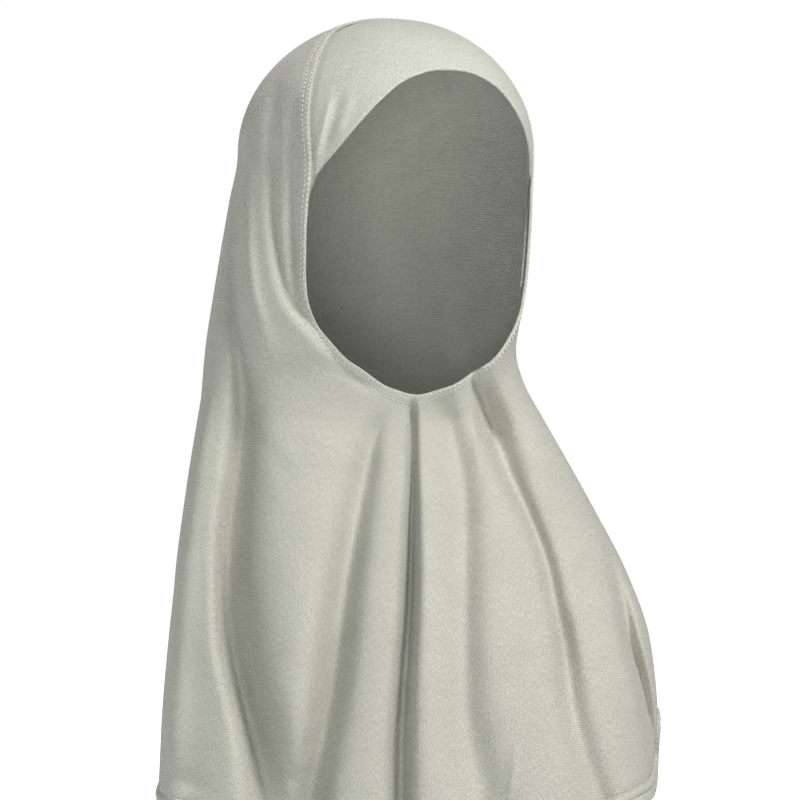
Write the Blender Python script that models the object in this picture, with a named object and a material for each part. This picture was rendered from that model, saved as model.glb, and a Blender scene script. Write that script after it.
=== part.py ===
"""Pull-on jersey hijab, kept in the form it has when worn.

Metres, +Z up. The face looks along -Y and the wearer's left is +X. The origin is
the inner side of the cloth at the crown, where a head carries it.
"""
import math

import bmesh
import bpy
import numpy as np

# Driving sizes
CROWN_HEIGHT = 0.078        # crown down to the widest level of the head
HEAD_SIDE = 0.085           # head axis to the cloth at the right temple
LEFT_AT_HEAD = 0.93         # left temple, as a share of HEAD_SIDE
HEAD_FRONT = 0.098          # head axis to the cloth on the forehead
HEAD_BACK = 0.106           # head axis to the cloth behind the head
CAPE_SIDE = 0.158           # axis to the hem at the left shoulder
RIGHT_AT_HEM = 0.852        # right shoulder, as a share of CAPE_SIDE: the cloth hangs closer there
CAPE_FRONT = 0.104          # axis to the hem at the chest
CAPE_BACK = 0.117           # axis to the hem behind
CAPE_TURN = 25.0            # degrees that the shoulders are turned away from the face
HEAD_SQUARE = 2.0           # squareness of the level sections at the head
HEM_SQUARE = 2.8            # and at the hem
DROP = 0.480                # crown down to the lowest level of the hem
WALL = 0.0012               # jersey
HEM_EXTRA = 0.0005          # a turned edge stands this much proud of the jersey
PIECE_GAP = 0.0004          # free space between neighbouring edges
BAND_GAP = 0.0011           # free space between the forehead band and the hood over it
FACE_HEM_WIDTH = 0.0070     # turned edge round the face
BOTTOM_HEM_WIDTH = 0.0150   # turned edge at the bottom
BAND_TUCK = 0.0120          # forehead band that lies under the hood
BAND_FAN = 70.0             # degrees that the tuck's direction turns from the crown to a temple
TEMPLE_SHARE = 0.215        # the band reaches this share of the face edge down from the crown
FOLD_DEPTH = 0.0150         # the deepest valley of the hanging cloth
FOLD_SPREAD = 0.0180        # half width of the widest valley
FOLD_RISE = 0.25            # share of a valley's length in which it gets its depth
FOLD_FALL = 0.30            # share in which a valley that ends above the hem loses it
LEAST_REACH = 0.0210        # a valley presses in by its full depth this far from the axis

# Mesh steps
COLUMNS = 88
CAPE_ROWS = 22
HEM_ROWS = 2
BAND_COLUMNS = 36
BAND_ROWS = 10
SAMPLE_COLUMNS = 721        # columns at which the hem's length is measured
NORMAL_STEP = 0.0016        # metres between the points that give the cloth's direction

# Level sections below the crown: drop is a share of DROP, right and left are shares of
# CAPE_SIDE, front of HEAD_FRONT and back of HEAD_BACK; turn is a share of CAPE_TURN.
# A section is an ellipse where square is 2 and gets fuller corners as square grows.
SECTION_COLUMNS = ("drop", "right", "left", "front", "back", "turn", "square")
SECTIONS = [
    (0.219, 0.563, 0.500, 0.959, 1.085, 0.00, 2.00),
    (0.281, 0.592, 0.494, 0.929, 1.160, 0.00, 2.00),
    (0.344, 0.620, 0.478, 0.857, 1.217, 0.04, 2.05),
    (0.396, 0.647, 0.462, 0.694, 1.245, 0.12, 2.10),
    (0.438, 0.666, 0.500, 0.551, 1.255, 0.24, 2.20),
    (0.479, 0.690, 0.567, 0.510, 1.255, 0.36, 2.30),
    (0.531, 0.719, 0.653, 0.582, 1.245, 0.48, 2.40),
    (0.594, 0.751, 0.754, 0.714, 1.226, 0.64, 2.50),
    (0.667, 0.785, 0.864, 0.857, 1.198, 0.80, 2.60),
    (0.750, 0.809, 0.947, 0.969, 1.160, 0.92, 2.70),
    (0.854, 0.835, 0.983, 1.031, 1.123, 1.00, 2.80),
]

# Edge of the face opening on the wearer's right, mirrored on the left: angle from the
# face direction in degrees, and drop as a share of DROP.
FACE_EDGE_COLUMNS = ("angle", "drop")
FACE_EDGE = [
    (90.0, 0.000), (83.0, 0.010), (72.0, 0.025), (63.0, 0.052), (58.5, 0.092),
    (56.0, 0.142), (54.5, 0.190), (55.5, 0.271), (54.0, 0.342), (49.0, 0.382),
    (38.0, 0.419), (20.0, 0.445), (0.0, 0.455),
]

# Brow edge of the forehead band, mirrored as well.
BROW_EDGE_COLUMNS = ("angle", "drop")
BROW_EDGE = [
    (0.0, 0.075), (10.0, 0.078), (20.0, 0.091), (28.0, 0.113), (35.0, 0.138),
    (42.0, 0.164), (49.0, 0.186), (52.0, 0.193), (56.0, 0.199), (60.0, 0.204),
]

# Height of the hem round the cape: angle from the cape's own front in degrees, and drop
# as a share of DROP.
HEM_LINE_COLUMNS = ("angle", "drop")
HEM_LINE = [
    (-180.0, 0.925), (-130.0, 0.930), (-82.0, 0.948), (-60.0, 0.952), (-30.0, 0.985),
    (0.0, 1.000), (40.0, 0.985), (56.0, 0.952), (66.0, 0.937), (75.0, 0.925), (81.0, 0.864),
    (90.0, 0.853), (102.0, 0.857), (130.0, 0.885), (180.0, 0.925),
]

# Valleys of the hanging cloth. Drops are shares of DROP, angles are in degrees from the
# cape's own front (minus is the wearer's right), depths are shares of FOLD_DEPTH and
# spreads are shares of FOLD_SPREAD.
FOLD_COLUMNS = ("name", "from_drop", "to_drop", "angle_top", "angle_middle", "angle_bottom",
                "depth_top", "depth_bottom", "spread_top", "spread_bottom")
FOLDS = [
    ("side_valley", 0.120, 1.00, -98.0, -67.0, -27.0, 0.25, 1.05, 0.55, 1.10),
    ("cheek_valley", 0.120, 0.44, -66.0, -61.0, -42.0, 0.12, 0.35, 0.30, 0.40),
    ("crown_valley", 0.150, 0.50, -84.0, -79.0, -70.0, 0.08, 0.15, 0.25, 0.35),
    ("right_front_valley", 0.460, 1.00, -24.0, -19.0, -23.0, 0.28, 0.75, 0.50, 0.65),
    ("centre_seam", 0.455, 1.00, -3.0, 1.0, 1.0, 0.25, 0.80, 0.32, 0.50),
    ("left_front_valley", 0.460, 1.00, 24.0, 22.0, 28.0, 0.25, 0.50, 0.55, 0.85),
    ("chin_diagonal", 0.430, 1.00, 44.0, 49.0, 57.0, 0.40, 0.80, 0.42, 0.66),
    ("shoulder_tuck", 0.600, 1.00, 80.0, 67.0, 74.0, 0.25, 0.85, 0.38, 0.50),
    ("left_shoulder_valley", 0.480, 1.00, 112.0, 108.0, 110.0, 0.25, 0.70, 0.55, 0.90),
    ("left_back_valley", 0.300, 1.00, 136.0, 140.0, 138.0, 0.20, 0.85, 0.60, 1.00),
    ("nape_valley", 0.340, 1.00, 172.0, 168.0, 170.0, 0.18, 0.75, 0.65, 1.00),
    ("right_back_valley", 0.280, 1.00, -146.0, -152.0, -154.0, 0.25, 0.90, 0.60, 1.00),
    ("right_shoulder_valley", 0.360, 1.00, -116.0, -118.0, -112.0, 0.18, 0.65, 0.55, 0.90),
]

# Colour, roughness
MATERIALS = {
    "forehead_band": ((0.66, 0.67, 0.61), 0.85),
    "hood_cape": ((0.56, 0.57, 0.52), 0.88),
    "face_hem": ((0.60, 0.61, 0.56), 0.88),
    "bottom_hem": ((0.52, 0.53, 0.49), 0.88),
}

# Worked out
CROWN_TOP = 2 * WALL + BAND_GAP
DOME_LENGTH = CROWN_HEIGHT * math.pi / 2


def steady_slopes(x, y):
    """Slopes for a curve through (x, y) that never overshoots its points."""
    step = np.diff(x)
    rise = np.diff(y) / step
    slope = np.zeros_like(y)
    for i in range(1, len(x) - 1):
        if rise[i - 1] * rise[i] > 0:
            before = 2 * step[i] + step[i - 1]
            after = step[i] + 2 * step[i - 1]
            slope[i] = (before + after) / (before / rise[i - 1] + after / rise[i])
    slope[-1] = rise[-1]
    return slope


def curve(at, x, y):
    """Smooth value at `at` of the curve through the points (x, y)."""
    x = np.asarray(x, float)
    y = np.asarray(y, float)
    slope = steady_slopes(x, y)
    at = np.clip(at, x[0], x[-1])
    i = np.clip(np.searchsorted(x, at) - 1, 0, len(x) - 2)
    step = x[i + 1] - x[i]
    t = (at - x[i]) / step
    start = (1 + 2 * t) * (1 - t) ** 2 * y[i] + t * (1 - t) ** 2 * step * slope[i]
    end = t * t * (3 - 2 * t) * y[i + 1] + t * t * (t - 1) * step * slope[i + 1]
    return start + end


def table_column(rows, columns, name):
    """One named column of a table, as an array."""
    return np.array([row[columns.index(name)] for row in rows], float)


def section_sizes(drop):
    """Right, left, front and back reach of the cloth at a drop, its turn and its squareness."""
    level = np.maximum(drop, CROWN_HEIGHT)
    inner = DROP * table_column(SECTIONS, SECTION_COLUMNS, "drop")
    levels = np.concatenate([[CROWN_HEIGHT], inner, [DROP]])
    ends = {
        "right": (HEAD_SIDE, CAPE_SIDE, RIGHT_AT_HEM * CAPE_SIDE),
        "left": (LEFT_AT_HEAD * HEAD_SIDE, CAPE_SIDE, CAPE_SIDE),
        "front": (HEAD_FRONT, HEAD_FRONT, CAPE_FRONT),
        "back": (HEAD_BACK, HEAD_BACK, CAPE_BACK),
        "turn": (0.0, -math.radians(CAPE_TURN), -math.radians(CAPE_TURN)),
        "square": (HEAD_SQUARE, 1.0, HEM_SQUARE),
    }
    sizes = []
    for name, (at_head, unit, at_hem) in ends.items():
        between = unit * table_column(SECTIONS, SECTION_COLUMNS, name)
        sizes.append(curve(level, levels, np.concatenate([[at_head], between, [at_hem]])))
    up = 1 - np.minimum(drop, CROWN_HEIGHT) / CROWN_HEIGHT
    shrink = np.sqrt(np.clip(1 - up ** 2, 0, 1))
    right, left, front, back, turn, square = sizes
    return right * shrink, left * shrink, front * shrink, back * shrink, turn, square


def shell_point(angle, drop):
    """Point of the smooth cloth, without folds, at an angle from its front and a drop."""
    right, left, front, back, turn, square = section_sizes(drop)
    side = np.where(angle < 0, right, left)
    depth = np.where(np.cos(angle) > 0, front, back)
    tiny = 1e-9
    reach = (np.abs(np.sin(angle) / np.maximum(side, tiny)) ** square
             + np.abs(np.cos(angle) / np.maximum(depth, tiny)) ** square) ** (-1 / square)
    x = reach * np.sin(angle)
    y = -reach * np.cos(angle)
    return np.stack([x * np.cos(turn) - y * np.sin(turn),
                     x * np.sin(turn) + y * np.cos(turn),
                     CROWN_TOP - drop], -1)


def run_from_drop(drop):
    """Length down the cloth from the crown to a drop."""
    dome = CROWN_HEIGHT * np.arccos(np.clip(1 - drop / CROWN_HEIGHT, -1, 1))
    return np.where(drop < CROWN_HEIGHT, dome, DOME_LENGTH + drop - CROWN_HEIGHT)


def drop_from_run(run):
    """Drop of a point a given length down the cloth from the crown."""
    dome = CROWN_HEIGHT * (1 - np.cos(np.minimum(run, DOME_LENGTH) / CROWN_HEIGHT))
    return np.where(run < DOME_LENGTH, dome, CROWN_HEIGHT + run - DOME_LENGTH)


def flat_point(angle, drop):
    """Place of a point on the flat pattern, whose centre is the crown."""
    run = run_from_drop(drop)
    return np.stack([run * np.sin(angle), -run * np.cos(angle)], -1)


def along(points, share):
    """Points at shares 0 to 1 of the way between the second and the last but one of some points.

    The first and last point only set the direction at the ends.
    """
    length = np.concatenate([[0], np.cumsum(np.linalg.norm(np.diff(points, axis=0), axis=1))])
    slope = (points[2:] - points[:-2]) / (length[2:] - length[:-2])[:, None]
    inner = points[1:-1]
    place = length[1:-1]
    at = place[0] + share * (place[-1] - place[0])
    i = np.clip(np.searchsorted(place, at) - 1, 0, len(place) - 2)
    step = (place[i + 1] - place[i])[:, None]
    t = (at - place[i])[:, None] / step
    start = (1 + 2 * t) * (1 - t) ** 2 * inner[i] + t * (1 - t) ** 2 * step * slope[i]
    end = t * t * (3 - 2 * t) * inner[i + 1] + t * t * (t - 1) * step * slope[i + 1]
    return start + end


def fold_depth(angle, drop):
    """How far the folds press the cloth in at an angle and a drop."""
    depth = np.zeros_like(angle + drop)
    right, left, front, back = section_sizes(np.maximum(drop, CROWN_HEIGHT))[:4]
    girth = (right + left + front + back) / 4
    for row in FOLDS:
        fold = dict(zip(FOLD_COLUMNS, row))
        start = fold["from_drop"] * DROP
        end = fold["to_drop"] * DROP
        t = (drop - start) / (end - start)
        top, middle, bottom = fold["angle_top"], fold["angle_middle"], fold["angle_bottom"]
        bend = 2 * (top + bottom - 2 * middle)
        track = np.radians(top + (bottom - top - bend) * t + bend * t ** 2)
        away = (angle - track + math.pi) % (2 * math.pi) - math.pi
        held = np.clip(t, 0, 1)
        spread = FOLD_SPREAD * (fold["spread_top"] + (fold["spread_bottom"] - fold["spread_top"]) * held)
        deep = FOLD_DEPTH * (fold["depth_top"] + (fold["depth_bottom"] - fold["depth_top"]) * held)
        fade_in = np.clip(t / FOLD_RISE, 0, 1)
        deep = deep * fade_in ** 2 * (3 - 2 * fade_in)
        if fold["to_drop"] < 1:
            fade_out = np.clip((1 - t) / FOLD_FALL, 0, 1)
            deep = deep * fade_out ** 2 * (3 - 2 * fade_out)
        depth = depth + deep / np.cosh(away * girth / spread) ** 2
    return depth


def cloth_point(flat):
    """Outer side of the cloth, with folds, above a place on the flat pattern."""
    run = np.linalg.norm(flat, axis=-1)
    angle = np.arctan2(flat[..., 0], -flat[..., 1])
    drop = drop_from_run(run)
    point = shell_point(angle, drop)
    level = point[..., :2]
    reach = np.linalg.norm(level, axis=-1)
    shrink = 1 - fold_depth(angle, drop) / np.maximum(reach, LEAST_REACH)
    return np.concatenate([level * shrink[..., None], point[..., 2:]], -1)


def cloth_normal(flat):
    """Outward direction of the cloth above a place on the flat pattern."""
    step = NORMAL_STEP / 2
    to_x = cloth_point(flat + [step, 0]) - cloth_point(flat - [step, 0])
    to_y = cloth_point(flat + [0, step]) - cloth_point(flat - [0, step])
    normal = np.cross(to_x, to_y)
    return normal / np.linalg.norm(normal, axis=-1, keepdims=True)


def face_edge(share):
    """Edge of the face opening, from the crown by the right cheek and chin back to the crown."""
    angle = -np.radians(table_column(FACE_EDGE, FACE_EDGE_COLUMNS, "angle"))
    right = flat_point(angle, DROP * table_column(FACE_EDGE, FACE_EDGE_COLUMNS, "drop"))
    left = right[::-1] * [-1, 1]
    loop = np.concatenate([left[-2:-1], right, left[1:], right[1:2]])
    return along(loop, np.asarray(share, float))


def brow_edge(share):
    """Brow edge of the forehead band, from the left temple (0) to the right temple (1)."""
    angle = -np.radians(table_column(BROW_EDGE, BROW_EDGE_COLUMNS, "angle"))
    right = flat_point(angle, DROP * table_column(BROW_EDGE, BROW_EDGE_COLUMNS, "drop"))
    right = np.concatenate([right, 2 * right[-1:] - right[-2:-1]])
    left = right[::-1] * [-1, 1]
    return along(np.concatenate([left, right[1:]]), share)


def hem_edge(share):
    """Hem on the flat pattern, from the back by the right side and the front to the back."""
    fine = np.radians(np.linspace(-180, 180, SAMPLE_COLUMNS))
    drop = DROP * curve(np.degrees(fine), table_column(HEM_LINE, HEM_LINE_COLUMNS, "angle"),
                        table_column(HEM_LINE, HEM_LINE_COLUMNS, "drop"))
    around = shell_point(fine, drop)
    length = np.concatenate([[0], np.cumsum(np.linalg.norm(np.diff(around, axis=0), axis=1))])
    angle = np.interp(np.asarray(share) * length[-1], length, fine)
    return flat_point(angle, np.interp(angle, fine, drop))


def cape_grid(columns, start, end, rows):
    """Places on the flat pattern in rows from one level to another.

    A level is ("face", d) or ("hem", d): a distance d from the face edge or from the hem.
    """
    share = np.arange(columns) / columns
    inner = face_edge(share)
    outer = hem_edge(share)
    length = np.linalg.norm(outer - inner, axis=-1)

    def level_share(level):
        side, distance = level
        return distance / length if side == "face" else 1 - distance / length

    first = level_share(start)
    last = level_share(end)
    step = np.linspace(0, 1, rows + 1)[:, None]
    mix = first + (last - first) * step
    return inner + (outer - inner) * mix[..., None]


def band_grid(columns, rows):
    """Places on the flat pattern of the forehead band, from the brow edge to its tucked edge."""
    share = np.linspace(0, 1, columns + 1)
    brow = brow_edge(share)
    seam = face_edge((TEMPLE_SHARE * (2 * share - 1)) % 1.0)
    fan = math.radians(BAND_FAN) * (2 * share - 1)
    tucked = seam + BAND_TUCK * np.stack([-np.sin(fan), np.cos(fan)], -1)
    step = np.linspace(0, 1, rows + 1)[:, None, None]
    return brow + (tucked - brow) * step


def walled_solid(name, grid, outer_lift, inner_lift, closed):
    """Closed wall between two lifted copies of a grid, as an object of its own."""
    rows, columns = grid.shape[:2]
    point = cloth_point(grid)
    normal = cloth_normal(grid)
    mesh = bmesh.new()
    sides = []
    for lift in (outer_lift, inner_lift):
        lifted = point + normal * lift
        sides.append([[mesh.verts.new(lifted[r, c]) for c in range(columns)] for r in range(rows)])
    outer, inner = sides
    last = columns if closed else columns - 1
    for r in range(rows - 1):
        for c in range(last):
            n = (c + 1) % columns
            mesh.faces.new((outer[r + 1][c], outer[r + 1][n], outer[r][n], outer[r][c]))
            mesh.faces.new((inner[r][c], inner[r][n], inner[r + 1][n], inner[r + 1][c]))
    for c in range(last):
        n = (c + 1) % columns
        mesh.faces.new((outer[0][c], outer[0][n], inner[0][n], inner[0][c]))
        mesh.faces.new((outer[-1][n], outer[-1][c], inner[-1][c], inner[-1][n]))
    if not closed:
        for r in range(rows - 1):
            mesh.faces.new((outer[r + 1][0], outer[r][0], inner[r][0], inner[r + 1][0]))
            mesh.faces.new((outer[r][-1], outer[r + 1][-1], inner[r + 1][-1], inner[r][-1]))
    bmesh.ops.triangulate(mesh, faces=mesh.faces)
    data = bpy.data.meshes.new(name)
    mesh.to_mesh(data)
    mesh.free()
    data.shade_smooth()
    item = bpy.data.objects.new(name, data)
    bpy.context.scene.collection.objects.link(item)
    data.materials.append(cloth_material(name))
    return item


def cloth_material(name):
    """Plain jersey of a sub-part's colour."""
    colour, roughness = MATERIALS[name]
    material = bpy.data.materials.new(name + "_jersey")
    material.use_nodes = True
    shader = material.node_tree.nodes["Principled BSDF"]
    shader.inputs["Base Color"].default_value = (*colour, 1.0)
    shader.inputs["Roughness"].default_value = roughness
    shader.inputs["Metallic"].default_value = 0.0
    material.diffuse_color = (*colour, 1.0)
    return material


def build_forehead_band():
    """Panel over the forehead, one wall and one gap inside the hood."""
    outer_lift = -(WALL + BAND_GAP)
    return walled_solid("forehead_band", band_grid(BAND_COLUMNS, BAND_ROWS),
                        outer_lift, outer_lift - WALL, closed=False)


def build_face_hem():
    """Turned edge round the face opening."""
    grid = cape_grid(COLUMNS, ("face", 0.0), ("face", FACE_HEM_WIDTH), HEM_ROWS)
    return walled_solid("face_hem", grid, HEM_EXTRA, -WALL, closed=True)


def build_hood_cape():
    """Main cloth between the two turned edges."""
    grid = cape_grid(COLUMNS, ("face", FACE_HEM_WIDTH + PIECE_GAP),
                     ("hem", BOTTOM_HEM_WIDTH + PIECE_GAP), CAPE_ROWS)
    return walled_solid("hood_cape", grid, 0.0, -WALL, closed=True)


def build_bottom_hem():
    """Turned edge at the bottom of the cape."""
    grid = cape_grid(COLUMNS, ("hem", BOTTOM_HEM_WIDTH), ("hem", 0.0), HEM_ROWS)
    return walled_solid("bottom_hem", grid, HEM_EXTRA, -(WALL + HEM_EXTRA), closed=True)


def build():
    for item in list(bpy.data.objects):
        bpy.data.objects.remove(item, do_unlink=True)
    build_forehead_band()
    build_face_hem()
    build_hood_cape()
    build_bottom_hem()


build()
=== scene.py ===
"""Looks of the pull-on jersey hijab: fine cloth, turned edges, stitches, light and camera.

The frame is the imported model's: metres, +Z up, the face along -Y, the crown at the origin.
"""
import math

import bpy
import numpy as np
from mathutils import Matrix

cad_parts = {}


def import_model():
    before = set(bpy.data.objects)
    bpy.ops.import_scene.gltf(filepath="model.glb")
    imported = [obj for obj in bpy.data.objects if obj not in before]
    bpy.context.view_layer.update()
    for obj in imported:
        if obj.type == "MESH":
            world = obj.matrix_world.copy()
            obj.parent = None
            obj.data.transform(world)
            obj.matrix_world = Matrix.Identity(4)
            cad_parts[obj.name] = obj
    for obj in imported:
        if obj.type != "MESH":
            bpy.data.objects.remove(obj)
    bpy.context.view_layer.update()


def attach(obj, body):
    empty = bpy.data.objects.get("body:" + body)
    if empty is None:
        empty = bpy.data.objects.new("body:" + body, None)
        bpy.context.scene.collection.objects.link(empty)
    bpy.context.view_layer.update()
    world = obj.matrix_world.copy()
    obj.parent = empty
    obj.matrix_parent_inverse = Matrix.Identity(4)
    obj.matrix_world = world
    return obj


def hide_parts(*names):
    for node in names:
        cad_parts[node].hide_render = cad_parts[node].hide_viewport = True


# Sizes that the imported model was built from
CROWN_HEIGHT = 0.078
HEAD_SIDE = 0.085
HEAD_FRONT = 0.098
HEAD_BACK = 0.106
CAPE_SIDE = 0.158
CAPE_FRONT = 0.104
CAPE_BACK = 0.117
CAPE_TURN = 25.0
HEAD_SQUARE = 2.0
HEM_SQUARE = 2.8
RIGHT_AT_HEM = 0.852
LEFT_AT_HEAD = 0.93
DROP = 0.480
WALL = 0.0012
BAND_GAP = 0.0011
FACE_HEM_WIDTH = 0.0070
BOTTOM_HEM_WIDTH = 0.0150
BAND_TUCK = 0.0120
BAND_FAN = 70.0
TEMPLE_SHARE = 0.215
LEAST_REACH = 0.0210
CROWN_TOP = 2 * WALL + BAND_GAP
DOME_LENGTH = CROWN_HEIGHT * math.pi / 2

# Photo: 800 pixels square, level view
PHOTO_CENTRE = 400.0
PHOTO_AXIS_X = 390.0        # pixel column of the head's axis
PHOTO_CROWN_Y = 18.6        # pixel row of the crown
PIXEL = 0.00058             # metres at the head's axis
PHOTO_AZIMUTH = -25.0       # degrees
CAMERA_DISTANCE = 2.0

# Mesh steps
CAPE_COLUMNS = 480
CAPE_ROWS = 94
BAND_COLUMNS = 200
BAND_ROWS = 64

# Level sections below the crown: drop is a share of DROP, right and left are shares of
# CAPE_SIDE, front of HEAD_FRONT and back of HEAD_BACK; turn is a share of CAPE_TURN.
# A section is an ellipse where square is 2 and gets fuller corners as square grows.
SECTION_COLUMNS = ("drop", "right", "left", "front", "back", "turn", "square")
SECTIONS = [
    (0.219, 0.563, 0.500, 0.959, 1.085, 0.00, 2.00),
    (0.281, 0.592, 0.494, 0.929, 1.160, 0.00, 2.00),
    (0.344, 0.620, 0.478, 0.857, 1.217, 0.04, 2.05),
    (0.396, 0.647, 0.462, 0.694, 1.245, 0.12, 2.10),
    (0.438, 0.666, 0.500, 0.551, 1.255, 0.24, 2.20),
    (0.479, 0.690, 0.567, 0.510, 1.255, 0.36, 2.30),
    (0.531, 0.719, 0.653, 0.582, 1.245, 0.48, 2.40),
    (0.594, 0.751, 0.754, 0.714, 1.226, 0.64, 2.50),
    (0.667, 0.785, 0.864, 0.857, 1.198, 0.80, 2.60),
    (0.750, 0.809, 0.947, 0.969, 1.160, 0.92, 2.70),
    (0.854, 0.835, 0.983, 1.031, 1.123, 1.00, 2.80),
]

FACE_EDGE_COLUMNS = ("angle", "drop")
FACE_EDGE = [
    (90.0, 0.000), (83.0, 0.010), (72.0, 0.025), (63.0, 0.052), (58.5, 0.092),
    (56.0, 0.142), (54.5, 0.190), (55.5, 0.271), (54.0, 0.342), (49.0, 0.382),
    (38.0, 0.419), (20.0, 0.445), (0.0, 0.455),
]

BROW_EDGE_COLUMNS = ("angle", "drop")
BROW_EDGE = [
    (0.0, 0.075), (10.0, 0.078), (20.0, 0.091), (28.0, 0.113), (35.0, 0.138),
    (42.0, 0.164), (49.0, 0.186), (52.0, 0.193), (56.0, 0.199), (60.0, 0.204),
]

HEM_LINE_COLUMNS = ("angle", "drop")
HEM_LINE = [
    (-180.0, 0.925), (-130.0, 0.930), (-82.0, 0.948), (-60.0, 0.952), (-30.0, 0.985),
    (0.0, 1.000), (40.0, 0.985), (56.0, 0.952), (66.0, 0.937), (75.0, 0.925), (81.0, 0.864),
    (90.0, 0.853), (102.0, 0.857), (130.0, 0.885), (180.0, 0.925),
]

# Valleys that the photo doesn't show, by angle from the cape's own front in degrees,
# with drops as shares of DROP and depth and spread in metres.
HIDDEN_FOLD_COLUMNS = ("name", "from_drop", "to_drop", "angle_top", "angle_bottom",
                       "depth_top", "depth_bottom", "spread_top", "spread_bottom")
HIDDEN_FOLDS = [
    ("left_shoulder_valley", 0.480, 1.00, 112.0, 110.0, 0.0035, 0.0110, 0.009, 0.016),
    ("left_back_valley", 0.300, 1.00, 136.0, 138.0, 0.0030, 0.0135, 0.010, 0.018),
    ("nape_valley", 0.340, 1.00, 172.0, 170.0, 0.0026, 0.0120, 0.011, 0.018),
    ("right_back_valley", 0.280, 1.00, -146.0, -154.0, 0.0036, 0.0140, 0.010, 0.018),
    ("right_shoulder_valley", 0.360, 1.00, -116.0, -112.0, 0.0028, 0.0105, 0.009, 0.015),
]

# Valleys that the photo shows. Each row follows one down the picture: pixel row, pixel
# column, depth in millimetres, and half width in pixels to its left and to its right.
# A negative depth is a ridge.
PHOTO_FOLD_COLUMNS = ("row", "column", "depth", "left", "right")
PHOTO_FOLDS = {
    "left_lobe": [
        (150, 236, 0.0, 6, 7), (200, 232, -3.0, 6, 7), (280, 222, -6.0, 6, 8),
        (340, 213, -8.5, 6, 9), (430, 200, -11.0, 7, 12), (500, 190, -13.0, 7, 14),
        (570, 183, -14.0, 7, 15), (640, 177, -14.0, 8, 16), (710, 172, -14.0, 8, 17),
        (800, 168, -12.0, 9, 18), (860, 166, -12.0, 9, 18),
    ],
    "side_valley": [
        (100, 253, 0.0, 8, 8), (150, 243, 3.0, 8, 7), (210, 235, 6.0, 7, 7),
        (260, 234, 8.5, 7, 7), (320, 237, 12.0, 9, 11), (400, 241, 16.0, 9, 15),
        (470, 235, 22.0, 9, 21), (560, 225, 30.0, 7, 26), (600, 224, 34.0, 6, 28),
        (640, 226, 37.0, 6, 29), (680, 233, 39.0, 6, 28), (720, 244, 39.0, 7, 28),
        (760, 255, 36.0, 9, 31), (800, 265, 33.0, 13, 33), (860, 279, 33.0, 15, 33),
    ],
    "side_ridge": [
        (120, 248, 0.0, 6, 6), (180, 247, -4.0, 6, 6), (240, 248, -6.0, 6, 6),
        (290, 252, -6.0, 7, 7), (330, 262, -3.0, 8, 9), (370, 273, 0.0, 10, 10),
    ],
    "cheek_valley": [
        (80, 295, 0.0, 7, 6), (120, 292, 4.6, 7, 6), (200, 291, 5.6, 6, 6),
        (245, 292, 7.2, 6, 6), (290, 297, 7.4, 6, 6), (315, 308, 6.2, 7, 6),
        (345, 328, 4.4, 9, 7), (370, 350, 2.6, 10, 8), (400, 392, 0.0, 10, 8),
    ],
    "crown_valley": [
        (60, 280, 0.0, 8, 8), (110, 273, 6.0, 8, 9), (160, 271, 7.0, 7, 9),
        (200, 271, 6.6, 6, 8), (240, 275, 6.4, 6, 6), (285, 284, 5.6, 6, 5),
        (310, 297, 3.0, 7, 6), (335, 314, 0.0, 8, 8),
    ],
    "right_front_valley": [
        (405, 384, 0.0, 12, 8), (440, 373, 8.0, 15, 9), (480, 364, 14.0, 17, 12),
        (520, 356, 17.0, 18, 13), (600, 343, 23.0, 18, 14), (700, 329, 27.0, 17, 15),
        (760, 318, 27.0, 17, 15), (860, 297, 27.0, 18, 16),
    ],
    "centre_seam": [
        (394, 413, 0.0, 3, 3), (412, 413, 9.0, 4, 4), (470, 413, 15.0, 5, 4),
        (520, 412, 23.0, 6, 5), (600, 410, 31.0, 7, 6), (680, 405, 32.0, 8, 7),
        (760, 401, 30.0, 10, 9), (860, 401, 30.0, 10, 9),
    ],
    "left_front_valley": [
        (372, 440, 0.0, 18, 14), (425, 449, 12.0, 20, 15), (480, 461, 13.0, 22, 15),
        (520, 464, 13.0, 22, 15), (620, 464, 12.5, 21, 15), (700, 464, 14.0, 20, 19),
        (760, 473, 14.0, 21, 24), (860, 498, 13.0, 23, 26),
    ],
    "chin_diagonal": [
        (352, 468, 0.0, 8, 9), (390, 481, 19.0, 10, 14), (430, 494, 27.0, 12, 17),
        (480, 513, 20.0, 11, 13), (520, 532, 14.0, 9, 9), (560, 547, 13.0, 9, 8),
        (600, 556, 13.0, 10, 8), (640, 566, 14.0, 11, 8), (700, 572, 13.0, 13, 12),
        (760, 586, 11.0, 15, 14), (860, 630, 10.0, 18, 14),
    ],
    "shoulder_tuck": [
        (500, 600, 0.0, 6, 6), (560, 612, 5.0, 7, 6), (601, 624, 12.0, 8, 6),
        (640, 632, 18.0, 8, 6), (680, 643, 21.0, 7, 6), (720, 651, 22.0, 6, 6),
        (760, 657, 22.0, 6, 6), (860, 668, 22.0, 6, 6),
    ],
}

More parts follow.
